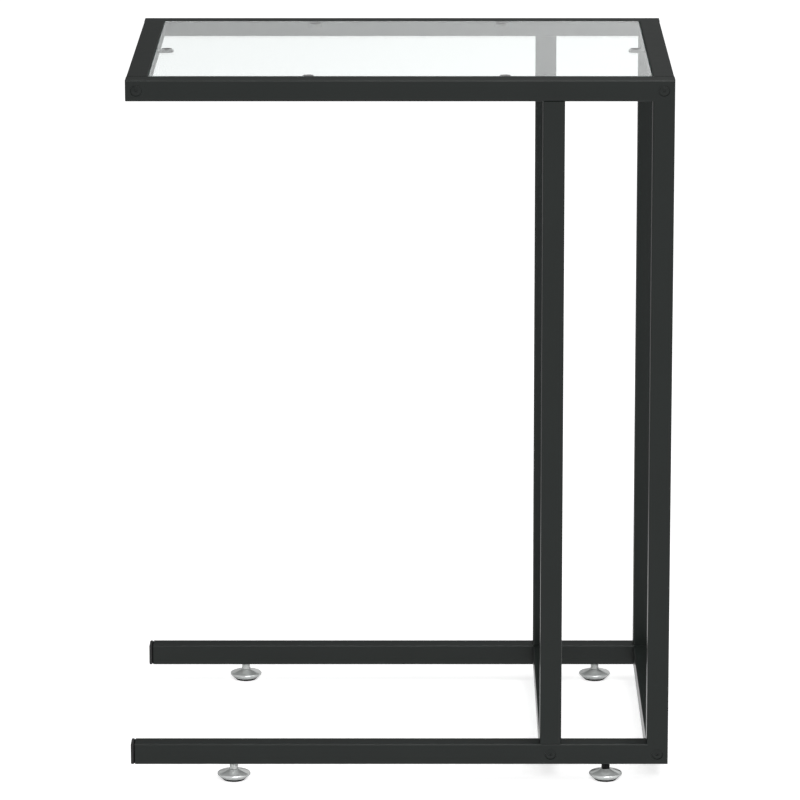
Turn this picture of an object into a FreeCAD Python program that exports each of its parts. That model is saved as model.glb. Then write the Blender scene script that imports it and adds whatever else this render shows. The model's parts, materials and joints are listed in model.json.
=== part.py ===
import FreeCAD, Part
import os

# Side table: two welded C-shaped frames of square steel tube, bolted to four cross tubes,
# a glass top let into the frame on welded tabs, plastic end caps and four screw feet.
# Lengths are in millimetres. X runs along the top, Y from front to back, Z up.
# The origin is on the floor, under the middle of the whole table.

# Frame
FRAME_LENGTH = 500.0
FRAME_DEPTH = 350.0
FRAME_HEIGHT = 650.0
POST_GAP = 80.0

# Square tube
TUBE_SIZE = 20.0
TUBE_WALL = 1.2
TUBE_CORNER = 1.6

# Plates that close the left ends of the top rails
END_PLATE_THICKNESS = 1.5
END_PLATE_EDGE_SHARE = 0.4

# Glass top
GLASS_THICKNESS = 6.0
GLASS_GAP = 0.4
GLASS_CORNER = 3.0
GLASS_ARRIS = 0.4

# Tabs under the glass, and the soft pads on them
TAB_LENGTH = 16.0
TAB_WIDTH = 13.0
TAB_THICKNESS = 2.0
TAB_INSET_LEFT = 166.0
TAB_INSET_RIGHT = 154.0
PAD_RADIUS = 5.0
PAD_THICKNESS = 1.0

# Joint bolts, M6 with a low domed head
BOLT_RADIUS = 3.0
BOLT_LENGTH = 25.0
BOLT_TIP_CHAMFER = 0.6
BOLT_HEAD_RADIUS = 5.1
BOLT_HEAD_HEIGHT = 3.3
BOLT_HEAD_RIM = 2.9
BOLT_HEAD_RECESS = 0.5
BOLT_SOCKET_FLATS = 3.0
BOLT_SOCKET_DEPTH = 1.2
BOLT_HOLE_CLEARANCE = 0.25

# Sleeves that carry the bolt heads on the inner wall of the frame
SLEEVE_RADIUS = 5.15
SLEEVE_CLEARANCE = 0.1

# Threaded blocks welded into the ends of the cross tubes
BLOCK_LENGTH = 12.0
BLOCK_CLEARANCE = 0.05
BLOCK_THREAD_CLEARANCE = 0.05

# End caps of the base rails
CAP_FLANGE = 4.0
CAP_STANDS_OUT = 3.2
CAP_GROOVE_WIDTH = 1.2
CAP_GROOVE_DEPTH = 0.8
CAP_EDGE_SHARE = 0.8
CAP_BACK_EDGE = 0.3
CAP_PLUG_LENGTH = 12.0
CAP_PLUG_WALL = 1.6
CAP_PLUG_CLEARANCE = 0.1
CAP_RIB_HEIGHT = 0.08
CAP_RIB_WIDTH = 1.2
CAP_RIB_COUNT = 3

# Places of the feet, from the ends of the frame
FOOT_INSET_LEFT = 93.0
FOOT_INSET_RIGHT = 58.0

# Countersunk rivet nuts for the feet
NUT_RADIUS = 5.5
NUT_LENGTH = 12.0
NUT_HEAD_RADIUS = 6.2
NUT_BULB_RADIUS = 6.8
NUT_BULB_HEIGHT = 3.0
NUT_CLEARANCE = 0.05

# Foot studs, M8, with a flat head that turns inside the foot
STUD_RADIUS = 4.0
STUD_CLEARANCE = 0.08
STUD_LENGTH = 21.5
STUD_TIP_CHAMFER = 0.8
STUD_HEAD_RADIUS = 6.0
STUD_HEAD_THICKNESS = 1.6
STUD_HEAD_CLEARANCE = 0.15
STUD_SHOWING = 6.5

# Pressed shells of the feet, heights from the floor
SHELL_WALL = 1.0
SHELL_HUB_HEIGHT = 10.6
SHELL_HUB_RADIUS = 4.8
SHELL_CEILING_HEIGHT = 8.5
SHELL_CONE_RADIUS = 5.2
SHELL_CONE_HEIGHT = 10.1
SHELL_RIM_RADIUS = 15.5
SHELL_RIM_HEIGHT = 5.65
SHELL_RIM_THICKNESS = 2.7
SHELL_RIM_BULGE = 0.9
SHELL_LIP_HEIGHT = 2.5

# Moulded bases of the feet
BASE_SET_IN = 0.2
BASE_EDGE = 0.4
BASE_CLEARANCE = 0.1

# How far a cutter runs past what it cuts
OVERRUN = 5.0

# Places that follow from the sizes
LEFT_X = -(FRAME_LENGTH - CAP_STANDS_OUT) / 2
RIGHT_X = LEFT_X + FRAME_LENGTH
BASE_RAIL_START_X = LEFT_X + CAP_FLANGE - CAP_STANDS_OUT
FRONT_Y = -FRAME_DEPTH / 2
BASE_Z = SHELL_HUB_HEIGHT + STUD_SHOWING
TOP_Z = BASE_Z + FRAME_HEIGHT
HALF_TUBE = TUBE_SIZE / 2
TUBE_BORE = TUBE_SIZE - 2 * TUBE_WALL
BORE_CORNER = max(TUBE_CORNER - TUBE_WALL, 0)
RAIL_Y = FRONT_Y + HALF_TUBE
INNER_Y = FRONT_Y + TUBE_SIZE
RIGHT_POST_X = RIGHT_X - HALF_TUBE
MID_POST_X = RIGHT_POST_X - TUBE_SIZE - POST_GAP
LEFT_CROSS_X = LEFT_X + HALF_TUBE
BASE_RAIL_Z = BASE_Z + HALF_TUBE
TOP_RAIL_Z = TOP_Z - HALF_TUBE
CROSS_LENGTH = FRAME_DEPTH - 2 * TUBE_SIZE
GLASS_BOTTOM_Z = TOP_Z - GLASS_THICKNESS
TAB_TOP_Z = GLASS_BOTTOM_Z - PAD_THICKNESS
SLEEVE_START = BOLT_HEAD_RECESS + BOLT_HEAD_HEIGHT
HEAD_TOP_HEIGHT = SHELL_CEILING_HEIGHT - STUD_HEAD_CLEARANCE
HEAD_BOTTOM_HEIGHT = HEAD_TOP_HEIGHT - STUD_HEAD_THICKNESS
HEAD_ROOM_RADIUS = STUD_HEAD_RADIUS + STUD_HEAD_CLEARANCE
CROSS_PLACES = {
    "top_left": (LEFT_CROSS_X, TOP_RAIL_Z),
    "top_right": (RIGHT_POST_X, TOP_RAIL_Z),
    "base_mid": (MID_POST_X, BASE_RAIL_Z),
    "base_right": (RIGHT_POST_X, BASE_RAIL_Z),
}
FOOT_X = {"left": LEFT_X + FOOT_INSET_LEFT, "right": RIGHT_X - FOOT_INSET_RIGHT}
TAB_X = {"left": LEFT_X + TAB_INSET_LEFT, "right": RIGHT_X - TAB_INSET_RIGHT}

X_AXIS = FreeCAD.Vector(1, 0, 0)
Y_AXIS = FreeCAD.Vector(0, 1, 0)
Z_AXIS = FreeCAD.Vector(0, 0, 1)


def point(x, y, z=0):
    return FreeCAD.Vector(x, y, z)


def laid(shape, axis, x, y, z):
    """The shape with its own Z turned to an axis and its own origin at a point."""
    moved = shape.copy()
    moved.Placement = FreeCAD.Placement(point(x, y, z), FreeCAD.Rotation(Z_AXIS, axis))
    return moved


def mirrored(shape):
    """The same piece on the back frame."""
    return shape.mirror(point(0, 0), Y_AXIS)


def rounded_outline(width, depth, corner):
    """A closed rectangle about the origin, with an arc in each corner."""
    half_w = width / 2
    half_d = depth / 2
    if corner <= 0:
        ends = [point(half_w, half_d), point(-half_w, half_d), point(-half_w, -half_d), point(half_w, -half_d)]
        return Part.makePolygon(ends + ends[:1])
    diagonal = corner * (1 - 0.5 ** 0.5)
    arcs = []
    for sx, sy in ((1, 1), (-1, 1), (-1, -1), (1, -1)):
        on_side = point(sx * half_w, sy * (half_d - corner))
        on_end = point(sx * (half_w - corner), sy * half_d)
        bulge = point(sx * (half_w - diagonal), sy * (half_d - diagonal))
        first, last = (on_side, on_end) if sx == sy else (on_end, on_side)
        arcs.append((first, bulge, last))
    edges = []
    for arc, following in zip(arcs, arcs[1:] + arcs[:1]):
        edges.append(Part.Arc(*arc).toShape())
        edges.append(Part.LineSegment(arc[2], following[0]).toShape())
    return Part.Wire(edges)


def prism(width, depth, corner, height):
    return Part.Face(rounded_outline(width, depth, corner)).extrude(point(0, 0, height))


def end_edges(shape, height, far):
    """The edges round the far or the near end of a prism of a given height."""
    if far:
        return [e for e in shape.Edges if min(v.Z for v in e.Vertexes) > height / 2]
    return [e for e in shape.Edges if max(v.Z for v in e.Vertexes) < height / 2]


def square_tube(length):
    """A length of tube that stands on the origin."""
    outside = prism(TUBE_SIZE, TUBE_SIZE, TUBE_CORNER, length)
    bore = prism(TUBE_BORE, TUBE_BORE, BORE_CORNER, length + 2 * OVERRUN)
    bore.translate(point(0, 0, -OVERRUN))
    return outside.cut(bore)


def turned(outline, arcs=None):
    """A solid of revolution about Z, from an outline of (radius, height) points.
    Arcs gives, for a side of the outline by number, the point that its arc passes through."""
    arcs = arcs or {}
    ends = outline[1:] + outline[:1]
    edges = []
    for n, (start, end) in enumerate(zip(outline, ends)):
        start_point = point(start[0], 0, start[1])
        end_point = point(end[0], 0, end[1])
        if n in arcs:
            through = point(arcs[n][0], 0, arcs[n][1])
            edges.append(Part.Arc(start_point, through, end_point).toShape())
        else:
            edges.append(Part.LineSegment(start_point, end_point).toShape())
    return Part.Face(Part.Wire(edges)).revolve(point(0, 0), Z_AXIS, 360)


def mitre_wedge(level, side, from_rail):
    """Half of the corner where a rail meets the right post, on one side of their mitre.
    Side is 1 at the top corner and -1 at the base. From_rail picks the half to take off the rail."""
    near_x = RIGHT_X - TUBE_SIZE - OVERRUN
    far_x = RIGHT_X + OVERRUN
    near_z = level - side * (TUBE_SIZE + OVERRUN)
    far_z = level + side * OVERRUN
    third = (far_x, near_z) if from_rail else (near_x, far_z)
    corners = [point(x, FRONT_Y - OVERRUN, z) for x, z in ((near_x, near_z), (far_x, far_z), third)]
    face = Part.Face(Part.makePolygon(corners + corners[:1]))
    return face.extrude(point(0, TUBE_SIZE + 2 * OVERRUN, 0))


def bolt_drillings():
    """What the joint bolts take out of the front frame: a sleeve's hole and a shank's hole each."""
    cutters = []
    for x, z in CROSS_PLACES.values():
        wide = Part.makeCylinder(SLEEVE_RADIUS + SLEEVE_CLEARANCE, HALF_TUBE + OVERRUN)
        cutters.append(laid(wide, Y_AXIS, x, FRONT_Y - OVERRUN, z))
        narrow = Part.makeCylinder(BOLT_RADIUS + BOLT_HOLE_CLEARANCE, HALF_TUBE + OVERRUN)
        cutters.append(laid(narrow, Y_AXIS, x, RAIL_Y, z))
    return Part.makeCompound(cutters)


def nut_drillings():
    """Countersunk holes in the underside of the front base rail for the rivet nuts."""
    radius = NUT_RADIUS + NUT_CLEARANCE
    mouth = NUT_HEAD_RADIUS + NUT_CLEARANCE
    cutter = turned([
        (0, -OVERRUN),
        (mouth + OVERRUN, -OVERRUN),
        (radius, mouth - radius),
        (radius, HALF_TUBE),
        (0, HALF_TUBE),
    ])
    return Part.makeCompound([laid(cutter, Z_AXIS, x, RAIL_Y, BASE_Z) for x in FOOT_X.values()])


def top_rail():
    start = LEFT_X + END_PLATE_THICKNESS
    tube = laid(square_tube(RIGHT_X - start), X_AXIS, start, RAIL_Y, TOP_RAIL_Z)
    return tube.cut(mitre_wedge(TOP_Z, 1, True)).cut(bolt_drillings())


def base_rail():
    length = RIGHT_X - BASE_RAIL_START_X
    tube = laid(square_tube(length), X_AXIS, BASE_RAIL_START_X, RAIL_Y, BASE_RAIL_Z)
    tube = tube.cut(mitre_wedge(BASE_Z, -1, True))
    return tube.cut(bolt_drillings()).cut(nut_drillings())


def right_post():
    tube = laid(square_tube(FRAME_HEIGHT), Z_AXIS, RIGHT_POST_X, RAIL_Y, BASE_Z)
    tube = tube.cut(mitre_wedge(TOP_Z, 1, False)).cut(mitre_wedge(BASE_Z, -1, False))
    return tube.cut(bolt_drillings())


def mid_post():
    return laid(square_tube(FRAME_HEIGHT - 2 * TUBE_SIZE), Z_AXIS, MID_POST_X, RAIL_Y, BASE_Z + TUBE_SIZE)


def rail_end_plate():
    """Closes the left end of a top rail, ground flush with the tube and eased round its face."""
    plate = prism(TUBE_SIZE, TUBE_SIZE, TUBE_CORNER, END_PLATE_THICKNESS)
    rim = end_edges(plate, END_PLATE_THICKNESS, True)
    plate = plate.makeFillet(END_PLATE_THICKNESS * END_PLATE_EDGE_SHARE, rim)
    return laid(plate, -X_AXIS, LEFT_X + END_PLATE_THICKNESS, RAIL_Y, TOP_RAIL_Z)


def rail_end_cap():
    """Plastic cap of a base rail: a rounded face, a groove before the tube's end, a hollow plug and
    ribs that grip the bore."""
    thickness = CAP_FLANGE - CAP_GROOVE_WIDTH
    face = prism(TUBE_SIZE, TUBE_SIZE, TUBE_CORNER, thickness)
    face = face.makeChamfer(CAP_BACK_EDGE, end_edges(face, thickness, False))
    face = face.makeFillet(TUBE_CORNER * CAP_EDGE_SHARE, end_edges(face, thickness, True))
    face.translate(point(0, 0, CAP_GROOVE_WIDTH))
    neck_side = TUBE_SIZE - 2 * CAP_GROOVE_DEPTH
    neck = prism(neck_side, neck_side, TUBE_CORNER - CAP_GROOVE_DEPTH, CAP_GROOVE_WIDTH)
    plug_side = TUBE_BORE - 2 * CAP_PLUG_CLEARANCE
    rib_side = plug_side + 2 * CAP_RIB_HEIGHT
    hollow_side = plug_side - 2 * CAP_PLUG_WALL
    plug = prism(plug_side, plug_side, BORE_CORNER, CAP_PLUG_LENGTH)
    step = CAP_PLUG_LENGTH / (CAP_RIB_COUNT + 1)
    for n in range(CAP_RIB_COUNT):
        rib = prism(rib_side, rib_side, BORE_CORNER, CAP_RIB_WIDTH)
        rib.translate(point(0, 0, step * (n + 1) - CAP_RIB_WIDTH / 2))
        plug = plug.fuse(rib)
    plug = plug.cut(prism(hollow_side, hollow_side, 0, CAP_PLUG_LENGTH))
    plug.translate(point(0, 0, -CAP_PLUG_LENGTH))
    cap = face.fuse(neck).fuse(plug).removeSplitter()
    return laid(cap, -X_AXIS, BASE_RAIL_START_X, RAIL_Y, BASE_RAIL_Z)


def glass_top():
    """Toughened pane that lies flush with the frame, with rounded corners and eased edges."""
    length = FRAME_LENGTH - 2 * (TUBE_SIZE + GLASS_GAP)
    depth = CROSS_LENGTH - 2 * GLASS_GAP
    pane = prism(length, depth, GLASS_CORNER, GLASS_THICKNESS)
    rims = end_edges(pane, GLASS_THICKNESS, True) + end_edges(pane, GLASS_THICKNESS, False)
    pane = pane.makeChamfer(GLASS_ARRIS, rims)
    return laid(pane, Z_AXIS, LEFT_X + FRAME_LENGTH / 2, 0, GLASS_BOTTOM_Z)


def tab_places():
    """Root point and outward turn, in degrees, of each glass tab."""
    return {
        "left": (LEFT_X + TUBE_SIZE, 0, 0),
        "right": (RIGHT_X - TUBE_SIZE, 0, 180),
        "front_left": (TAB_X["left"], INNER_Y, 90),
        "front_right": (TAB_X["right"], INNER_Y, 90),
        "back_left": (TAB_X["left"], -INNER_Y, -90),
        "back_right": (TAB_X["right"], -INNER_Y, -90),
    }


def tab_placement(x, y, turn, z):
    return FreeCAD.Placement(point(x, y, z), FreeCAD.Rotation(Z_AXIS, turn))


def glass_tab(x, y, turn):
    """A flat steel tab with a half-round end, welded to the inside of a rail."""
    half = TAB_WIDTH / 2
    straight = TAB_LENGTH - half
    edges = [
        Part.LineSegment(point(0, -half), point(straight, -half)).toShape(),
        Part.Arc(point(straight, -half), point(TAB_LENGTH, 0), point(straight, half)).toShape(),
        Part.LineSegment(point(straight, half), point(0, half)).toShape(),
        Part.LineSegment(point(0, half), point(0, -half)).toShape(),
    ]
    tab = Part.Face(Part.Wire(edges)).extrude(point(0, 0, TAB_THICKNESS))
    tab.Placement = tab_placement(x, y, turn, TAB_TOP_Z - TAB_THICKNESS)
    return tab


def glass_pad(x, y, turn):
    """A clear soft disc between the round end of a tab and the glass."""
    pad = Part.makeCylinder(PAD_RADIUS, PAD_THICKNESS, point(TAB_LENGTH - TAB_WIDTH / 2, 0))
    pad.Placement = tab_placement(x, y, turn, TAB_TOP_Z)
    return pad


def cross_tube(x, z):
    return laid(square_tube(CROSS_LENGTH), Y_AXIS, x, INNER_Y, z)


def cross_blocks(x, z):
    """The threaded blocks in both ends of a cross tube."""
    side = TUBE_BORE - 2 * BLOCK_CLEARANCE
    block = prism(side, side, BORE_CORNER, BLOCK_LENGTH)
    block = block.cut(Part.makeCylinder(BOLT_RADIUS + BLOCK_THREAD_CLEARANCE, BLOCK_LENGTH))
    front = laid(block, Y_AXIS, x, INNER_Y, z)
    return [front, mirrored(front)]


def hexagon_prism(flats, height):
    spoke = point(flats / 3 ** 0.5, 0)
    corners = [FreeCAD.Rotation(Z_AXIS, 60 * n).multVec(spoke) for n in range(6)]
    return Part.Face(Part.makePolygon(corners + corners[:1])).extrude(point(0, 0, height))


def joint_bolt(x, z):
    """Domed bolt with a hexagon socket, its head just inside the face of the frame."""
    dome = BOLT_HEAD_HEIGHT - BOLT_HEAD_RIM
    dome_radius = (BOLT_HEAD_RADIUS ** 2 + dome ** 2) / (2 * dome)
    drop = dome_radius - (dome_radius ** 2 - (BOLT_HEAD_RADIUS / 2) ** 2) ** 0.5
    on_dome = (BOLT_HEAD_RADIUS / 2, BOLT_HEAD_HEIGHT - drop)
    outline = [
        (BOLT_HEAD_RADIUS, BOLT_HEAD_RIM),
        (0, BOLT_HEAD_HEIGHT),
        (0, -BOLT_LENGTH),
        (BOLT_RADIUS - BOLT_TIP_CHAMFER, -BOLT_LENGTH),
        (BOLT_RADIUS, BOLT_TIP_CHAMFER - BOLT_LENGTH),
        (BOLT_RADIUS, 0),
        (BOLT_HEAD_RADIUS, 0),
    ]
    bolt = turned(outline, {0: on_dome})
    socket = hexagon_prism(BOLT_SOCKET_FLATS, BOLT_SOCKET_DEPTH + OVERRUN)
    socket.translate(point(0, 0, BOLT_HEAD_HEIGHT - BOLT_SOCKET_DEPTH))
    return laid(bolt.cut(socket), -Y_AXIS, x, FRONT_Y + SLEEVE_START, z)


def bolt_sleeve(x, z):
    """The tube under a bolt's head, which stands on the inner wall of the frame."""
    length = TUBE_SIZE - TUBE_WALL - SLEEVE_START
    sleeve = Part.makeCylinder(SLEEVE_RADIUS, length)
    sleeve = sleeve.cut(Part.makeCylinder(BOLT_RADIUS + BOLT_HOLE_CLEARANCE, length))
    return laid(sleeve, Y_AXIS, x, FRONT_Y + SLEEVE_START, z)


def rivet_nut():
    """Countersunk rivet nut in the underside of a base rail, its bulb clamping the wall from inside."""
    bore = STUD_RADIUS + STUD_CLEARANCE
    nut = turned([
        (bore, 0),
        (NUT_HEAD_RADIUS, 0),
        (NUT_RADIUS, NUT_HEAD_RADIUS - NUT_RADIUS),
        (NUT_RADIUS, TUBE_WALL),
        (NUT_BULB_RADIUS, TUBE_WALL),
        (NUT_RADIUS, TUBE_WALL + NUT_BULB_HEIGHT),
        (NUT_RADIUS, NUT_LENGTH),
        (bore, NUT_LENGTH),
    ])
    nut.translate(point(0, 0, BASE_Z))
    return nut


def foot_stud():
    """Threaded stud with a flat head that turns inside the foot."""
    tip = HEAD_TOP_HEIGHT + STUD_LENGTH
    return turned([
        (0, HEAD_BOTTOM_HEIGHT),
        (STUD_HEAD_RADIUS, HEAD_BOTTOM_HEIGHT),
        (STUD_HEAD_RADIUS, HEAD_TOP_HEIGHT),
        (STUD_RADIUS, HEAD_TOP_HEIGHT),
        (STUD_RADIUS, tip - STUD_TIP_CHAMFER),
        (STUD_RADIUS - STUD_TIP_CHAMFER, tip),
        (0, tip),
    ])


def shell_outline():
    """The shell's outer side from the hub down to the lip: its skirt runs in at 45 degrees."""
    rim_root = SHELL_RIM_RADIUS - SHELL_RIM_BULGE
    rim_bottom = SHELL_RIM_HEIGHT - SHELL_RIM_THICKNESS / 2
    return [
        (SHELL_HUB_RADIUS, SHELL_HUB_HEIGHT),
        (SHELL_CONE_RADIUS, SHELL_CONE_HEIGHT),
        (rim_root, rim_bottom + SHELL_RIM_THICKNESS),
        (rim_root, rim_bottom),
        (rim_root - (rim_bottom - SHELL_LIP_HEIGHT), SHELL_LIP_HEIGHT),
    ]


def shell_hollow(gap):
    """The inner side of the shell from the lip up to the ceiling, drawn in by a gap."""
    rim_top, rim_bottom, lip = shell_outline()[2:]
    slant = SHELL_WALL * 2 ** 0.5 + gap
    return [
        (lip[0] - slant, lip[1]),
        (rim_bottom[0] - gap, rim_bottom[1] + slant - gap),
        (rim_top[0] - gap, rim_top[1] - SHELL_WALL - gap),
        (HEAD_ROOM_RADIUS, SHELL_CEILING_HEIGHT - gap),
    ]


def foot_shell():
    """Pressed shell: a hub round the stud, a cone, a rounded rim and a skirt that runs in under it."""
    hole = STUD_RADIUS + STUD_CLEARANCE
    outside = shell_outline()
    inside = shell_hollow(0)
    outline = [(hole, SHELL_HUB_HEIGHT)] + outside + inside + [(hole, SHELL_CEILING_HEIGHT)]
    return turned(outline, {3: (SHELL_RIM_RADIUS, SHELL_RIM_HEIGHT)})


def foot_base():
    """Moulded base: it fills the shell, holds the stud's head in and stands out below the lip."""
    core = shell_hollow(BASE_CLEARANCE)
    band_radius = shell_outline()[-1][0] - BASE_SET_IN
    foot_radius = band_radius - SHELL_LIP_HEIGHT + BASE_EDGE
    floor_of_room = HEAD_BOTTOM_HEIGHT - STUD_HEAD_CLEARANCE
    outline = [
        (0, 0),
        (foot_radius - BASE_EDGE, 0),
        (foot_radius, BASE_EDGE),
        (band_radius, SHELL_LIP_HEIGHT),
    ]
    outline += core
    outline += [(HEAD_ROOM_RADIUS, floor_of_room), (0, floor_of_room)]
    return turned(outline)


def frame_pieces():
    """The pieces of the front frame, which the back frame repeats as a mirror image."""
    return {
        "top_rail": [top_rail()],
        "base_rail": [base_rail()],
        "right_post": [right_post()],
        "mid_post": [mid_post()],
        "rail_end_plate": [rail_end_plate()],
        "rail_end_cap": [rail_end_cap()],
        "joint_bolts": [joint_bolt(*place) for place in CROSS_PLACES.values()],
        "bolt_sleeves": [bolt_sleeve(*place) for place in CROSS_PLACES.values()],
    }


def foot_pieces():
    """One foot and its nut, about the Z axis."""
    return {
        "rivet_nut": rivet_nut(),
        "foot_stud": foot_stud(),
        "foot_shell": foot_shell(),
        "foot_base": foot_base(),
    }


def all_nodes():
    nodes = {}
    for name, solids in frame_pieces().items():
        nodes["front_" + name] = solids
        nodes["back_" + name] = [mirrored(solid) for solid in solids]
    for name, place in CROSS_PLACES.items():
        nodes[name + "_cross_tube"] = [cross_tube(*place)]
        nodes[name + "_cross_blocks"] = cross_blocks(*place)
    nodes["glass_top"] = [glass_top()]
    for name, place in tab_places().items():
        nodes[name + "_glass_tab"] = [glass_tab(*place)]
    nodes["glass_pads"] = [glass_pad(*place) for place in tab_places().values()]
    for name, shape in foot_pieces().items():
        for row, y in (("front", RAIL_Y), ("back", -RAIL_Y)):
            for side, x in FOOT_X.items():
                placed = shape.copy()
                placed.translate(point(x, y))
                nodes[row + "_" + side + "_" + name] = [placed]
    return nodes


def main():
    os.makedirs("parts", exist_ok=True)
    for name, solids in all_nodes().items():
        shape = solids[0] if len(solids) == 1 else Part.makeCompound(solids)
        for solid in shape.Solids:
            if not solid.isValid() or solid.Volume <= 0:
                raise ValueError("bad solid in " + name)
        shape.exportStep("parts/" + name + ".step")
        print(name, len(shape.Solids), "solids, volume", round(shape.Volume, 1))


main()
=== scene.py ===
import json
import math

import bmesh
import bpy
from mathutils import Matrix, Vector


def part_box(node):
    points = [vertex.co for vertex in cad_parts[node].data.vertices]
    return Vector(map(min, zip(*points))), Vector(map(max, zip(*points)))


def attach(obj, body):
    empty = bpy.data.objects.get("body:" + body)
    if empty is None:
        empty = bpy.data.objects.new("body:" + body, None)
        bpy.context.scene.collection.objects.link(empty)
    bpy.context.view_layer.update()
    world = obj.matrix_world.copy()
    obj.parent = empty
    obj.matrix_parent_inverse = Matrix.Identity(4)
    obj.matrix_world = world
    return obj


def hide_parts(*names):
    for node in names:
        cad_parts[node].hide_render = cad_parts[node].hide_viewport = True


# The side table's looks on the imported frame, in metres: camera, light, floor, materials, and the
# threaded studs of the feet, which stand in for the plain ones.

MM = 0.001
WHITE = (1.0, 1.0, 1.0, 1.0)

# Camera, fitted to the edges of the frame in the photograph; its lens and sensor are in millimetres
CAMERA_PLACE = Vector((0.02769, -4.78607, 1.47541))
CAMERA_TILT = math.radians(76.5)
CAMERA_LENS = 231.66
CAMERA_SENSOR = 36.0
CAMERA_SHIFT = -0.03605
CAMERA_FAR = 100.0

# Lamps: squares that face their aim, with the power in watts
LAMPS = {
    "top_lamp": {"place": (1.2, -0.4, 4.4), "aim": (0.1, 0.0, 0.4), "size": 2.8, "power": 61.0},
    "front_lamp": {"place": (0.5, -3.6, 2.3), "aim": (0.0, 0.0, 0.3), "size": 2.4, "power": 66.0},
}

# Room: the strength of its light and of what the camera sees, and then of what shiny pieces mirror. A
# pair of strengths is that on the left and that on the right, and the front has a share of what is
# behind. A direction's side, depth and height shares are the ends between which a strength changes.
ROOM_LIGHT = 0.46
ROOM_SHOWN = 1.0
ROOM_BEHIND = (0.1, 0.165)
ROOM_FRONT_SHARE = 2.0
ROOM_OVERHEAD = 0.8
ROOM_IN_SHARP_MIRRORS = (0.46, 0.72)
ROOM_SIDE_SHARES = (-0.06, 0.05)
ROOM_DEPTH_SHARES = (-0.1, 0.4)
ROOM_HEIGHT_SHARES = (0.35, 0.75)

# Floor: the glow that makes it white to the camera and through the glass, and how brightly pieces that
# shine softly mirror it, from the nearer to the farther depth
FLOOR_REACH = 12.0
FLOOR_COLOUR = (0.8, 0.8, 0.8, 1.0)
FLOOR_GLOW = 0.66
FLOOR_GLOW_IN_GLASS = 0.93
FLOOR_MIRRORED = (1.14, 0.3)
FLOOR_MIRRORED_DEPTHS = (0.25, 0.9)

# Foot studs, M8. The thread's flats at root and crest are shares of the pitch, and the thread rises over
# the lead at either end. Edges that bend by more than the sharp angle stay sharp.
THREAD_RADIUS = 4.0 * MM
THREAD_PITCH = 1.25 * MM
THREAD_DEPTH = 0.767 * MM
THREAD_ROOT_SHARE = 1 / 4
THREAD_CREST_SHARE = 1 / 8
THREAD_LEAD = 0.8 * MM
THREAD_SIDES = 48
STUD_HEAD_THICKNESS = 1.6 * MM
STUD_HEAD_EDGE = 0.3 * MM
MERGE_DISTANCE = 0.0005 * MM
SHARP_ANGLE = math.radians(32)

# Glass: its tint deepens with the way through it. A face is ground or polished by the square of its
# normal's upright part: fully ground up to the first end, polished from the second on
GLASS_IOR = 1.5
GLASS_TINT = (0.0, 0.72, 0.6, 1.0)
GLASS_TINT_DENSITY = 5.0
GROUND_EDGE_ROUGHNESS = 0.75
GROUND_EDGE_ENDS = (0.6, 0.9)

# Painted shade in the grooves of the plastic: how far it reaches, and the openness where it is full and
# gone
GROOVE_REACH = 2.0 * MM
PAINTED_GROOVE_SHADE_ENDS = (0.65, 0.9)

# Heights of the fine bumps in the surfaces
COAT_PEEL_HEIGHT = 0.006 * MM
COAT_GRAIN_HEIGHT = 0.001 * MM
METAL_GRAIN_HEIGHT = 0.004 * MM
DARK_GRAIN_HEIGHT = 0.006 * MM
PLASTIC_GRAIN_HEIGHT = 0.02 * MM
PAD_GRAIN_HEIGHT = 0.01 * MM
CHROME_RING_HEIGHT = 0.001 * MM

# The part of a noise pattern that a range of colour or roughness is spread over
NOISE_ENDS = (0.3, 0.7)

# Metals and dark finishes: their two colours as they read on the screen, and their range of roughness
METALS = {
    "plain_steel": {"dark": (150, 150, 148), "light": (168, 168, 166), "roughness": (0.35, 0.5)},
    "zinc_steel": {"dark": (188, 190, 190), "light": (205, 206, 205), "roughness": (0.22, 0.36)},
}
DARK_FINISHES = {
    "black_stud": {"dark": (24, 24, 25), "light": (34, 34, 35), "roughness": (0.32, 0.45), "shine": 0.25},
    "black_rubber": {"dark": (10, 10, 10), "light": (14, 14, 14), "roughness": (0.7, 0.85), "shine": 0.05},
}

# The screen's colour curve: straight up to the knee, and a power above it
SCREEN_WHITE = 255
CURVE_KNEE = 0.04045
CURVE_SLOPE = 12.92
CURVE_OFFSET = 0.055
CURVE_POWER = 2.4


def linear(value):
    """A value as it reads on the screen, 0 to 255, as a linear one."""
    share = value / SCREEN_WHITE
    if share <= CURVE_KNEE:
        return share / CURVE_SLOPE
    return ((share + CURVE_OFFSET) / (1 + CURVE_OFFSET)) ** CURVE_POWER


def shader_colour(screen_colour):
    """A colour as it reads on the screen, as a shader takes it."""
    return tuple(linear(value) for value in screen_colour) + (1.0,)


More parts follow.
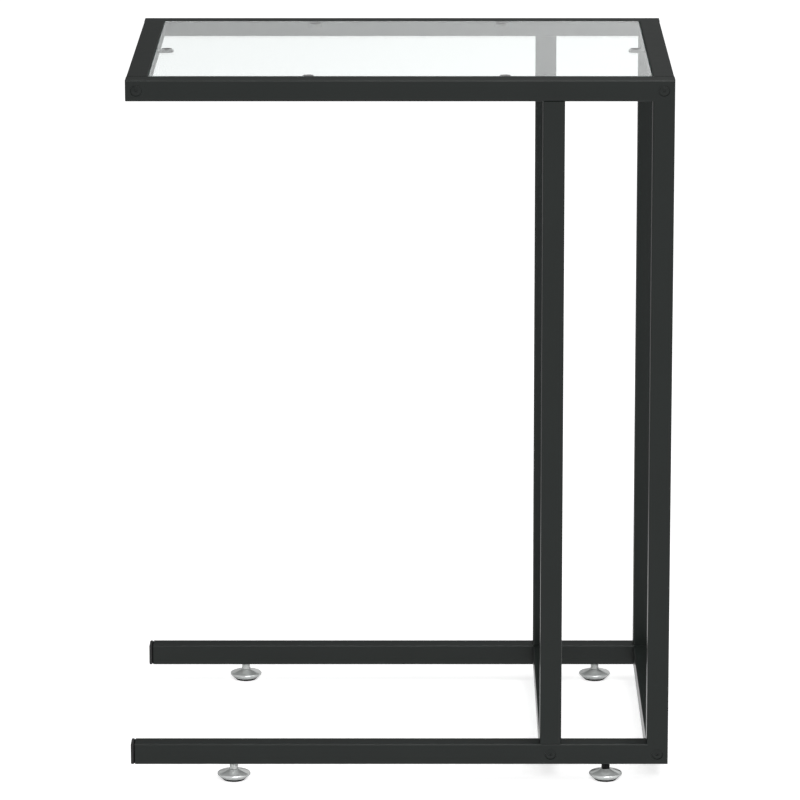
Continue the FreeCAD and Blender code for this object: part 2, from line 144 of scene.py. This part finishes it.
class Wiring:
    """The nodes of the world or of a material, with small helpers that add and join them."""

    def __init__(self, tree):
        self.nodes = tree.nodes
        self.links = tree.links

    def fill(self, socket, value):
        """Sets a socket to a number or a colour, or links it to another node's output."""
        if isinstance(value, bpy.types.NodeSocket):
            self.links.new(value, socket)
        else:
            socket.default_value = value

    def axes(self, vector):
        """The X, Y and Z of a vector."""
        node = self.nodes.new("ShaderNodeSeparateXYZ")
        self.links.new(vector, node.inputs["Vector"])
        return node.outputs

    def spread(self, value, at_start, at_end, ends=NOISE_ENDS):
        """A value that goes from one number to another while the given one goes between the ends."""
        node = self.nodes.new("ShaderNodeMapRange")
        node.inputs["From Min"].default_value = ends[0]
        node.inputs["From Max"].default_value = ends[1]
        node.inputs["To Min"].default_value = at_start
        node.inputs["To Max"].default_value = at_end
        self.links.new(value, node.inputs["Value"])
        return node.outputs["Result"]

    def calculated(self, operation, first, second):
        """The result of one operation on two values."""
        node = self.nodes.new("ShaderNodeMath")
        node.operation = operation
        self.fill(node.inputs[0], first)
        self.fill(node.inputs[1], second)
        return node.outputs["Value"]

    def larger(self, first, second):
        """The larger of two values."""
        return self.calculated("MAXIMUM", first, second)

    def product(self, first, second):
        """One value times another."""
        return self.calculated("MULTIPLY", first, second)

    def mixed_value(self, share, first, second):
        """The first value where the share is 0 and the second where it is 1."""
        node = self.nodes.new("ShaderNodeMix")
        self.links.new(share, node.inputs["Factor"])
        self.links.new(first, node.inputs["A"])
        self.links.new(second, node.inputs["B"])
        return node.outputs["Result"]

    def mixed_shader(self, share, first, second):
        """The first shader where the share is 0 and the second where it is 1."""
        node = self.nodes.new("ShaderNodeMixShader")
        self.links.new(share, node.inputs[0])
        self.links.new(first, node.inputs[1])
        self.links.new(second, node.inputs[2])
        return node.outputs["Shader"]

    def added_shader(self, first, second):
        """Two shaders at once."""
        node = self.nodes.new("ShaderNodeAddShader")
        self.links.new(first, node.inputs[0])
        self.links.new(second, node.inputs[1])
        return node.outputs["Shader"]

    def emission(self, strength):
        """A white glow."""
        node = self.nodes.new("ShaderNodeEmission")
        self.links.new(strength, node.inputs["Strength"])
        return node.outputs["Emission"]

    def background(self, strength):
        """A white background."""
        node = self.nodes.new("ShaderNodeBackground")
        node.inputs["Color"].default_value = WHITE
        self.fill(node.inputs["Strength"], strength)
        return node.outputs["Background"]


class Material(Wiring):
    """A node material with one Principled shader, and small helpers to feed it."""

    def __init__(self, name, **settings):
        self.material = bpy.data.materials.new(name)
        self.material.use_nodes = True
        super().__init__(self.material.node_tree)
        self.shader = self.nodes["Principled BSDF"]
        self.output = self.nodes["Material Output"]
        self.place = self.nodes.new("ShaderNodeTexCoord").outputs["Object"]
        for socket, value in settings.items():
            self.feed(socket.replace("_", " "), value)

    def feed(self, socket, value):
        """Gives one of the shader's sockets a number, a colour or another node's output."""
        self.fill(self.shader.inputs[socket], value)

    def noise(self, scale, detail=3.0):
        """A noise pattern, with its scale per metre."""
        node = self.nodes.new("ShaderNodeTexNoise")
        node.inputs["Scale"].default_value = scale
        node.inputs["Detail"].default_value = detail
        self.links.new(self.place, node.inputs["Vector"])
        return node.outputs["Fac"]

    def rings(self, centre, scale, distortion, detail):
        """A pattern of upright rings about a centre, with its scale per metre."""
        moved = self.nodes.new("ShaderNodeMapping")
        moved.vector_type = "TEXTURE"
        moved.inputs["Location"].default_value = (centre.x, centre.y, 0.0)
        self.links.new(self.place, moved.inputs["Vector"])
        node = self.nodes.new("ShaderNodeTexWave")
        node.wave_type = "RINGS"
        node.rings_direction = "Z"
        node.inputs["Scale"].default_value = scale
        node.inputs["Distortion"].default_value = distortion
        node.inputs["Detail"].default_value = detail
        self.links.new(moved.outputs["Vector"], node.inputs["Vector"])
        return node.outputs["Fac"]

    def openness(self, reach):
        """A value that is 1 where the surface lies open and lower in a groove or a corner."""
        node = self.nodes.new("ShaderNodeAmbientOcclusion")
        node.inputs["Distance"].default_value = reach
        return node.outputs["AO"]

    def blend(self, value, dark, light, ends=NOISE_ENDS):
        """A colour that goes from a dark to a light one while the value goes between the ends."""
        node = self.nodes.new("ShaderNodeValToRGB")
        for stop, end, colour in zip(node.color_ramp.elements, ends, (dark, light)):
            stop.position = end
            stop.color = shader_colour(colour)
        self.links.new(value, node.inputs["Fac"])
        return node.outputs["Color"]

    def bump(self, pattern, height, strength, below=None):
        """A normal that makes bumps of a pattern, on top of another such normal if one is given."""
        node = self.nodes.new("ShaderNodeBump")
        node.inputs["Distance"].default_value = height
        node.inputs["Strength"].default_value = strength
        self.links.new(pattern, node.inputs["Height"])
        if below:
            self.links.new(below, node.inputs["Normal"])
        return node.outputs["Normal"]


def powder_coat(name):
    """Black powder coat, faintly clouded, with a soft orange peel and a fine grain on it."""
    coat = Material(name, Specular_IOR_Level=0.3)
    clouds = coat.noise(scale=9.0, detail=4.0)
    coat.feed("Base Color", coat.blend(clouds, dark=(18, 24, 22), light=(21, 27, 25)))
    coat.feed("Roughness", coat.spread(coat.noise(scale=60.0), at_start=0.29, at_end=0.33))
    peel = coat.bump(coat.noise(scale=520.0, detail=2.0), COAT_PEEL_HEIGHT, strength=0.15)
    grain = coat.noise(scale=2600.0, detail=2.0)
    coat.feed("Normal", coat.bump(grain, COAT_GRAIN_HEIGHT, strength=0.15, below=peel))
    return coat


def float_glass(name):
    """Clear glass with polished faces, top and bottom, and ground edges."""
    glass = Material(name, Base_Color=WHITE, IOR=GLASS_IOR, Transmission_Weight=1.0)
    upright = glass.axes(glass.nodes.new("ShaderNodeNewGeometry").outputs["Normal"])["Z"]
    squared = glass.product(upright, upright)
    glass.feed("Roughness", glass.spread(squared, GROUND_EDGE_ROUGHNESS, 0.0, ends=GROUND_EDGE_ENDS))
    absorb = glass.nodes.new("ShaderNodeVolumeAbsorption")
    absorb.inputs["Color"].default_value = GLASS_TINT
    absorb.inputs["Density"].default_value = GLASS_TINT_DENSITY
    glass.links.new(absorb.outputs["Volume"], glass.output.inputs["Volume"])
    return glass


def clear_silicone(name):
    """Soft clear plastic, a little cloudy."""
    pad = Material(name, Base_Color=(0.86, 0.9, 0.9, 1.0), IOR=1.41, Transmission_Weight=0.85)
    pad.feed("Roughness", pad.spread(pad.noise(scale=900.0), at_start=0.12, at_end=0.22))
    pad.feed("Normal", pad.bump(pad.noise(scale=2400.0), PAD_GRAIN_HEIGHT, strength=0.3))
    return pad


def moulded_plastic(name):
    """Black plastic with painted shade in a groove, as behind the end caps: its colour and shine are
    painted darker there.
    """
    plastic = Material(name)
    grain = plastic.noise(scale=3200.0, detail=4.0)
    # Painted shade: where little light gets in, as in the groove behind an end cap, the colour is painted
    # darker
    light_in = plastic.openness(GROOVE_REACH)
    colour = plastic.blend(light_in, dark=(16, 16, 16), light=(31, 31, 32), ends=PAINTED_GROOVE_SHADE_ENDS)
    plastic.feed("Base Color", colour)
    # Painted shade: the shine is lowered in the groove as well
    shine = plastic.spread(light_in, at_start=0.0, at_end=0.4, ends=PAINTED_GROOVE_SHADE_ENDS)
    plastic.feed("Specular IOR Level", shine)
    plastic.feed("Roughness", plastic.spread(grain, at_start=0.38, at_end=0.52))
    plastic.feed("Normal", plastic.bump(grain, PLASTIC_GRAIN_HEIGHT, strength=0.4))
    return plastic


def polished_metal(name, dark, light):
    """Metal with faint clouds in its colour and a fine grain, as smooth as a mirror."""
    metal = Material(name, Metallic=0.15, Roughness=0.0)
    metal.feed("Base Color", metal.blend(metal.noise(scale=320.0, detail=5.0), dark, light))
    grain = metal.noise(scale=1800.0, detail=4.0)
    metal.feed("Normal", metal.bump(grain, METAL_GRAIN_HEIGHT, strength=0.5))
    return metal


def plain_metal(name, dark, light, roughness):
    """The same metal, but dull."""
    metal = polished_metal(name, dark, light)
    metal.feed("Roughness", metal.spread(metal.noise(scale=700.0), *roughness))
    return metal


def dark_finish(name, dark, light, roughness, shine):
    """A dark paint or rubber with a fine grain."""
    finish = Material(name, Specular_IOR_Level=shine)
    finish.feed("Base Color", finish.blend(finish.noise(scale=400.0), dark, light))
    finish.feed("Roughness", finish.spread(finish.noise(scale=900.0), *roughness))
    grain = finish.noise(scale=2600.0, detail=4.0)
    finish.feed("Normal", finish.bump(grain, DARK_GRAIN_HEIGHT, strength=0.5))
    return finish


def pressed_chrome(name, centre):
    """Bright plating over a pressed and polished disc, with faint rings about its centre."""
    chrome = Material(name, Metallic=0.5, Roughness=0.0)
    clouds = chrome.noise(scale=240.0, detail=4.0)
    chrome.feed("Base Color", chrome.blend(clouds, dark=(228, 231, 230), light=(238, 241, 240)))
    rings = chrome.rings(centre, scale=700.0, distortion=1.5, detail=2.0)
    chrome.feed("Normal", chrome.bump(rings, CHROME_RING_HEIGHT, strength=0.4))
    return chrome


def shared_finishes():
    """The finish of each material slot, apart from the feet's shells, which have one each."""
    finishes = {
        "black_coat": powder_coat("black_coat"),
        "black_bolt": powder_coat("black_bolt"),
        "clear_glass": float_glass("clear_glass"),
        "clear_pad": clear_silicone("clear_pad"),
        "black_plastic": moulded_plastic("black_plastic"),
        "bright_stud": polished_metal("bright_stud", dark=(240, 242, 241), light=(248, 249, 248)),
    }
    for name, values in METALS.items():
        finishes[name] = plain_metal(name, **values)
    for name, values in DARK_FINISHES.items():
        finishes[name] = dark_finish(name, **values)
    return finishes


def add_turned(shape, centre, outline, sides):
    """Adds a solid of revolution: an outline of (radius, height) whose ends lie on the axis."""
    rings = []
    for radius, height in outline:
        if radius == 0:
            rings.append([shape.verts.new((centre.x, centre.y, height))])
            continue
        ring = []
        for k in range(sides):
            turn = 2 * math.pi * k / sides
            place = (centre.x + radius * math.cos(turn), centre.y + radius * math.sin(turn), height)
            ring.append(shape.verts.new(place))
        rings.append(ring)
    for lower, upper in zip(rings, rings[1:]):
        for k in range(sides):
            face = [lower[k % len(lower)], lower[(k + 1) % len(lower)],
                    upper[(k + 1) % len(upper)], upper[k % len(upper)]]
            shape.faces.new(list(dict.fromkeys(face)))


def thread_profile():
    """The corners of one pitch of the thread: (share of the pitch, share of the depth)."""
    flank_share = (1 - THREAD_ROOT_SHARE - THREAD_CREST_SHARE) / 2
    crest_share = THREAD_ROOT_SHARE + flank_share
    crest_end_share = crest_share + THREAD_CREST_SHARE
    return [(0.0, 0.0), (THREAD_ROOT_SHARE, 0.0), (crest_share, 1.0), (crest_end_share, 1.0)]


def thread_radius(share, height, bottom, top):
    """The radius of the thread at a share of its pitch, drawn in towards both ends."""
    lift = 0.0
    profile = thread_profile() + [(1.0, 0.0)]
    for (start, low), (end, high) in zip(profile, profile[1:]):
        if start <= share <= end:
            lift = low + (share - start) / (end - start) * (high - low)
    ease = min(1.0, (height - bottom) / THREAD_LEAD, (top - height) / THREAD_LEAD)
    return THREAD_RADIUS - THREAD_DEPTH + lift * ease * THREAD_DEPTH


def add_thread(shape, centre, bottom, top):
    """Adds a right-hand threaded rod between two heights: columns of corners that climb one pitch in
    a turn, held between the heights and joined side by side."""
    turns = math.ceil((top - bottom) / THREAD_PITCH)
    columns = []
    for side in range(THREAD_SIDES + 1):
        turn = side / THREAD_SIDES
        angle = 2 * math.pi * turn
        column = []
        for lap in range(-1, turns + 1):
            for share, _ in thread_profile():
                free = bottom + (lap + share + turn) * THREAD_PITCH
                height = min(max(free, bottom), top)
                phase = ((height - bottom) / THREAD_PITCH - turn) % 1.0
                radius = thread_radius(phase, height, bottom, top)
                place = (centre.x + radius * math.cos(angle), centre.y + radius * math.sin(angle), height)
                column.append(shape.verts.new(place))
        columns.append(column)
    for left, right in zip(columns, columns[1:]):
        for k in range(len(left) - 1):
            shape.faces.new([left[k], right[k], right[k + 1], left[k + 1]])
    bmesh.ops.remove_doubles(shape, verts=shape.verts, dist=MERGE_DISTANCE)
    bmesh.ops.dissolve_degenerate(shape, edges=shape.edges, dist=MERGE_DISTANCE)
    open_edges = [edge for edge in shape.edges if edge.is_boundary]
    bmesh.ops.holes_fill(shape, edges=open_edges)


def dressed_piece(name, mesh, finish, body):
    """A named object of a mesh, with its finish, riding on a body."""
    mesh.materials.append(finish.material)
    mesh.shade_smooth()
    mesh.set_sharp_from_angle(angle=SHARP_ANGLE)
    piece = bpy.data.objects.new(name, mesh)
    bpy.context.scene.collection.objects.link(piece)
    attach(piece, body)
    return piece


def add_foot_stud(foot, finish):
    """Adds the threaded stud of one foot, with its flat head inside the foot."""
    low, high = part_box(foot + "_foot_stud")
    centre = (low + high) / 2
    head_radius = (high.x - low.x) / 2
    shoulder = low.z + STUD_HEAD_THICKNESS
    shape = bmesh.new()
    add_thread(shape, centre, shoulder - STUD_HEAD_EDGE, high.z)
    add_turned(shape, centre, [
        (0, low.z),
        (head_radius - STUD_HEAD_EDGE, low.z),
        (head_radius, low.z + STUD_HEAD_EDGE),
        (head_radius, shoulder - STUD_HEAD_EDGE),
        (head_radius - STUD_HEAD_EDGE, shoulder),
        (0, shoulder),
    ], THREAD_SIDES)
    bmesh.ops.recalc_face_normals(shape, faces=shape.faces)
    name = foot + "_threaded_stud"
    mesh = bpy.data.meshes.new(name)
    shape.to_mesh(mesh)
    shape.free()
    piece = dressed_piece(name, mesh, finish, foot + "_stud")
    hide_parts(foot + "_foot_stud")


def dress(frame):
    """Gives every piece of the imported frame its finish, and the feet their threaded studs."""
    finishes = shared_finishes()
    slots = {part["node"]: part["material_slot"] for part in frame["record"]["subparts"]}
    for name, node in frame["nodes"].items():
        if slots[name] == "bright_shell":
            low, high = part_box(name)
            finish = pressed_chrome(name + "_chrome", (low + high) / 2)
        else:
            finish = finishes[slots[name]]
        for holder in node.material_slots:
            holder.material = finish.material
    for name in frame["nodes"]:
        if name.endswith("_foot_stud"):
            foot = name.removesuffix("_foot_stud")
            add_foot_stud(foot, finishes[slots[name]])


def add_room():
    """Plain light all round, and white where the camera sees it. What shines softly mirrors a room that
    is dark behind, lighter in front and on the right, and bright overhead. Sharp mirrors, which are the
    pane and the feet's polished metal, show a brighter one, a little darker on the left."""
    world = bpy.data.worlds.new("room")
    bpy.context.scene.world = world
    world.use_nodes = True
    room = Wiring(world.node_tree)
    ray = room.nodes.new("ShaderNodeLightPath").outputs
    direction = room.axes(room.nodes.new("ShaderNodeTexCoord").outputs["Generated"])
    behind = room.spread(direction["X"], *ROOM_BEHIND, ends=ROOM_SIDE_SHARES)
    nearer = room.spread(direction["Y"], ROOM_FRONT_SHARE, 1.0, ends=ROOM_DEPTH_SHARES)
    overhead = room.spread(direction["Z"], 0.0, ROOM_OVERHEAD, ends=ROOM_HEIGHT_SHARES)
    soft = room.larger(room.product(behind, nearer), overhead)
    sharp = room.spread(direction["X"], *ROOM_IN_SHARP_MIRRORS, ends=ROOM_SIDE_SHARES)
    mirrored = room.background(room.mixed_value(ray["Is Singular Ray"], soft, sharp))
    unseen = room.mixed_shader(ray["Is Glossy Ray"], room.background(ROOM_LIGHT), mirrored)
    seen = room.larger(ray["Is Camera Ray"], ray["Is Transmission Ray"])
    surface = room.mixed_shader(seen, unseen, room.background(ROOM_SHOWN))
    room.links.new(surface, room.nodes["World Output"].inputs["Surface"])


def floor_paint():
    """White to the camera and through the glass, with the table's shadow. Sharp mirrors show it as it is
    lit, and what shines softly mirrors it bright in front and darker behind, without the shadow."""
    paint = Material("floor", Base_Color=FLOOR_COLOUR, Roughness=1.0, Specular_IOR_Level=0.0)
    ray = paint.nodes.new("ShaderNodeLightPath").outputs
    direct = paint.product(ray["Is Camera Ray"], FLOOR_GLOW)
    glazed = paint.product(ray["Is Transmission Ray"], FLOOR_GLOW_IN_GLASS)
    glow = paint.emission(paint.larger(direct, glazed))
    shown = paint.added_shader(paint.shader.outputs["BSDF"], glow)
    depth = paint.axes(paint.place)["Y"]
    mirrored = paint.emission(paint.spread(depth, *FLOOR_MIRRORED, ends=FLOOR_MIRRORED_DEPTHS))
    sharp = paint.larger(ray["Is Transmission Ray"], ray["Is Singular Ray"])
    soft = paint.product(ray["Is Glossy Ray"], paint.calculated("SUBTRACT", 1.0, sharp))
    surface = paint.mixed_shader(soft, shown, mirrored)
    paint.links.new(surface, paint.output.inputs["Surface"])
    return paint


def add_floor():
    """The floor that the table stands on."""
    mesh = bpy.data.meshes.new("floor")
    outline = [(x * FLOOR_REACH, y * FLOOR_REACH, 0.0) for x, y in ((-1, -1), (1, -1), (1, 1), (-1, 1))]
    mesh.from_pydata(outline, [], [(0, 1, 2, 3)])
    mesh.materials.append(floor_paint().material)
    floor = bpy.data.objects.new("floor", mesh)
    bpy.context.scene.collection.objects.link(floor)


def add_lamps():
    """The lamps over and in front of the table."""
    for name, lamp in LAMPS.items():
        light = bpy.data.lights.new(name, "AREA")
        light.shape = "SQUARE"
        light.size = lamp["size"]
        light.energy = lamp["power"]
        holder = bpy.data.objects.new(name, light)
        holder.location = lamp["place"]
        direction = Vector(lamp["aim"]) - Vector(lamp["place"])
        holder.rotation_euler = direction.to_track_quat("-Z", "Y").to_euler()
        bpy.context.scene.collection.objects.link(holder)


def add_camera():
    """The camera at the photograph's viewing angle."""
    lens = bpy.data.cameras.new("camera")
    lens.sensor_width = CAMERA_SENSOR
    lens.lens = CAMERA_LENS
    lens.shift_x = CAMERA_SHIFT
    lens.clip_end = CAMERA_FAR
    camera = bpy.data.objects.new("camera", lens)
    camera.location = CAMERA_PLACE
    camera.rotation_euler = (CAMERA_TILT, 0.0, 0.0)
    bpy.context.scene.collection.objects.link(camera)
    bpy.context.scene.camera = camera


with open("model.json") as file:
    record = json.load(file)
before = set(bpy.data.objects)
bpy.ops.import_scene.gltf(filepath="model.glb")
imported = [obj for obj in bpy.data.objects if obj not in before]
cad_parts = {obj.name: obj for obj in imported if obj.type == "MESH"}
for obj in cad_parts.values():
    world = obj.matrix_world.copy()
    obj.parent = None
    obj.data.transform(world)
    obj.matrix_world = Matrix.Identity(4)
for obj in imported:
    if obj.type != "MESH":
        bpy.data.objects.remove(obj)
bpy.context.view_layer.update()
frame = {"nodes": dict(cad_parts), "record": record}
bpy.context.scene.view_settings.view_transform = "Standard"
add_room()
add_floor()
add_lamps()
add_camera()
dress(frame)
